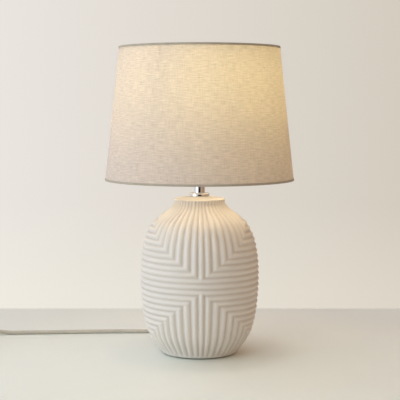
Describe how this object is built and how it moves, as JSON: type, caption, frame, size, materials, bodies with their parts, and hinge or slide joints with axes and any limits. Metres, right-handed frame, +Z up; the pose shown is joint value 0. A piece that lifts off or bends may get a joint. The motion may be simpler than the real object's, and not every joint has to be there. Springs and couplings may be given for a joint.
{
  "type": "table lamp",
  "caption": "Table lamp with a ribbed ceramic base, chrome neck, tapered drum shade on a dropped ring fitter, screw-in bulb, and a lead with an in-line rocker switch and plug.",
  "frame": {"origin": "on the table, under the centre of the lamp's foot", "axes": "+Z up along the lamp's own axis, -Y towards the front, the lead leaves at the back (+Y) and runs off to -X"},
  "size_m": [0.5992, 0.3, 0.487],
  "materials": {
    "ceramic": "matt ivory glaze over moulded ribs",
    "felt": "pressed felt",
    "rubber": "matt",
    "steel": "zinc plated",
    "chrome": "polished",
    "black_plastic": "moulded thermoplastic",
    "porcelain": "unglazed steatite",
    "brass": "stamped",
    "linen": "plain-woven slub linen",
    "liner": "translucent sheet laminated behind the cloth",
    "hem": "turned edge of the same linen",
    "white_wire": "white powder coat on steel wire",
    "opal": "opal diffuser, lit warm",
    "bulb_plastic": "white moulding",
    "nickel": "nickel-plated screw cap",
    "lead_sheath": "greige round flex",
    "brown_core": "single-core insulation",
    "blue_core": "single-core insulation",
    "fittings": "greige moulding, fine texture",
    "rocker": "smooth moulding",
    "strap": "hook-and-loop strap"
  },
  "bodies": {
    "lamp": {"felt_pad": "felt", "ceramic_base": "ceramic", "rubber_washer": "rubber", "steel_washer": "steel", "rod_nut": "steel", "threaded_rod": "steel", "cord_relief": "fittings", "neck_flange": "chrome", "neck_tube": "chrome", "holder_cap": "black_plastic", "terminal_block": "porcelain", "holder_shell": "black_plastic", "centre_contact": "brass", "side_contact": "brass", "inner_lead": "lead_sheath", "live_core": "brown_core", "neutral_core": "blue_core", "cord_run": "lead_sheath", "cord_link": "lead_sheath", "cord_coil": "lead_sheath", "cord_tail": "lead_sheath", "coil_tie": "strap", "switch_base": "fittings", "switch_cover": "fittings", "switch_contact": "brass", "switch_screw_1": "steel", "switch_screw_2": "steel", "plug_body": "fittings", "plug_pin_1": "nickel", "plug_pin_2": "nickel"},
    "shade": {"shade_fabric": "linen", "shade_liner": "liner", "bottom_ring": "white_wire", "top_ring": "white_wire", "bottom_hem": "hem", "top_hem": "hem", "carrier_ring": "white_wire", "carrier_arm_1": "white_wire", "carrier_arm_2": "white_wire", "carrier_arm_3": "white_wire"},
    "clamp_ring": {"shade_ring": "black_plastic"},
    "bulb_foot": {"bulb_contact": "brass", "bulb_insulator": "black_plastic"},
    "bulb": {"bulb_screw_cap": "nickel", "bulb_housing": "bulb_plastic", "led_board": "steel", "bulb_globe": "opal"},
    "rocker": {"switch_rocker": "rocker"}
  },
  "joints": [
    {"name": "shade_turn", "type": "hinge", "parent": "lamp", "child": "shade", "pos_m": [0, 0, 0.35], "axis": [0, 0, 1], "continuous": true},
    {"name": "shade_ring_turn", "type": "hinge", "parent": "lamp", "child": "clamp_ring", "pos_m": [0, 0, 0.355], "axis": [0, 0, 1], "continuous": true},
    {"name": "bulb_rise", "type": "slide", "parent": "lamp", "child": "bulb_foot", "axis": [0, 0, 1], "range_m": [0, 0.01452]},
    {"name": "bulb_turn", "type": "hinge", "parent": "bulb_foot", "child": "bulb", "pos_m": [0, 0, 0.36], "axis": [0, 0, 1], "range_deg": [0, 1440]},
    {"name": "switch_rock", "type": "hinge", "parent": "lamp", "child": "rocker", "pos_m": [-0.3835, 0.1265, 0.0106], "axis": [0, 1, 0], "range_deg": [-16, 0]}
  ],
  "couplings": [
    {"joint": "bulb_rise", "follows": "bulb_turn", "m_per_rad": 0.00057757}
  ]
}
